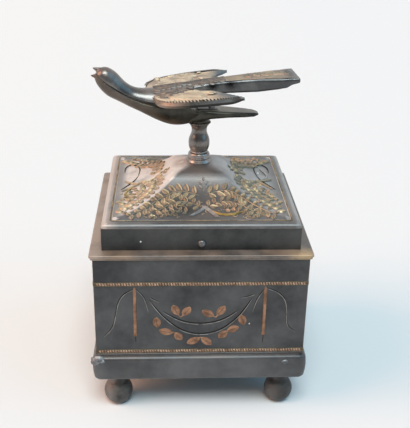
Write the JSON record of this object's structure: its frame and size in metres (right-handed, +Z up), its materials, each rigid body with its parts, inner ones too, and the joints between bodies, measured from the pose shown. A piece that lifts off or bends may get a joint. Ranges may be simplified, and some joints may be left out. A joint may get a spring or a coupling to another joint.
{
  "type": "sewing box",
  "caption": "Square footed metal sewing box with a coved hinged lid, push-button catch and a bird-shaped spring clamp on a post that grips cloth in its beak.",
  "frame": {"origin": "on the table at the middle of the square case, between the feet", "axes": "+Z up, -Y out of the front with the button, -X towards the beak"},
  "size_m": [0.1252, 0.1277, 0.1952],
  "materials": {
    "blackened_sheet": "satin, worn on the edges",
    "blackened_casting": "satin",
    "bird_casting": "polished on the neck",
    "gilded_feathers": "worn gilding",
    "plain_steel": "dark, plain",
    "hinge_metal": "satin",
    "spring_steel": "plain",
    "board": "plain thin board",
    "lining_cloth": "plain velvet"
  },
  "bodies": {
    "box": {"wall_front": "blackened_sheet", "wall_back": "blackened_sheet", "wall_left": "blackened_sheet", "wall_right": "blackened_sheet", "base_moulding_front": "blackened_sheet", "base_moulding_back": "blackened_sheet", "base_moulding_left": "blackened_sheet", "base_moulding_right": "blackened_sheet", "base_plate": "blackened_sheet", "foot_front_left": "blackened_casting", "foot_front_right": "blackened_casting", "foot_back_left": "blackened_casting", "foot_back_right": "blackened_casting", "foot_nuts": "plain_steel", "floor_board": "board", "floor_lining": "lining_cloth", "wall_lining": "lining_cloth", "rim_flange": "blackened_sheet", "hinge_body_leaf_left": "hinge_metal", "hinge_body_leaf_right": "hinge_metal", "hinge_pin_left": "plain_steel", "hinge_pin_right": "plain_steel", "hinge_body_rivets": "plain_steel"},
    "lid": {"lid_flange": "blackened_sheet", "lid_band": "blackened_sheet", "lid_crown": "blackened_sheet", "catch_spring": "spring_steel", "post_collar": "blackened_casting", "post": "blackened_casting", "post_washer": "plain_steel", "post_nut": "plain_steel", "bird_lower": "bird_casting", "jaw_spring": "spring_steel", "spring_rivet": "plain_steel", "hinge_lid_leaf_left": "hinge_metal", "hinge_lid_leaf_right": "hinge_metal", "hinge_lid_rivets": "plain_steel"},
    "button": {"push_button": "plain_steel"},
    "jaw": {"bird_upper": "bird_casting", "wing_left": "gilded_feathers", "wing_right": "gilded_feathers", "pivot_pin": "plain_steel"}
  },
  "joints": [
    {"name": "lid_hinge", "type": "hinge", "parent": "box", "child": "lid", "pos_m": [0, 0.06325, 0.10425], "axis": [-1, 0, 0], "range_deg": [0, 105]},
    {"name": "button_press", "type": "slide", "parent": "lid", "child": "button", "axis": [0, 1, 0], "range_m": [0, 0.0012], "stiffness_N_per_m": 300, "springref_m": -0.0005, "deforming": ["catch_spring"]},
    {"name": "jaw_pivot", "type": "hinge", "parent": "lid", "child": "jaw", "pos_m": [-0.01197, -0.00084, 0.178], "axis": [-0.0698, 0.9976, 0], "range_deg": [0, 12], "stiffness_Nm_per_rad": 0.5, "springref_deg": -17.19, "deforming": ["jaw_spring"]}
  ]
}
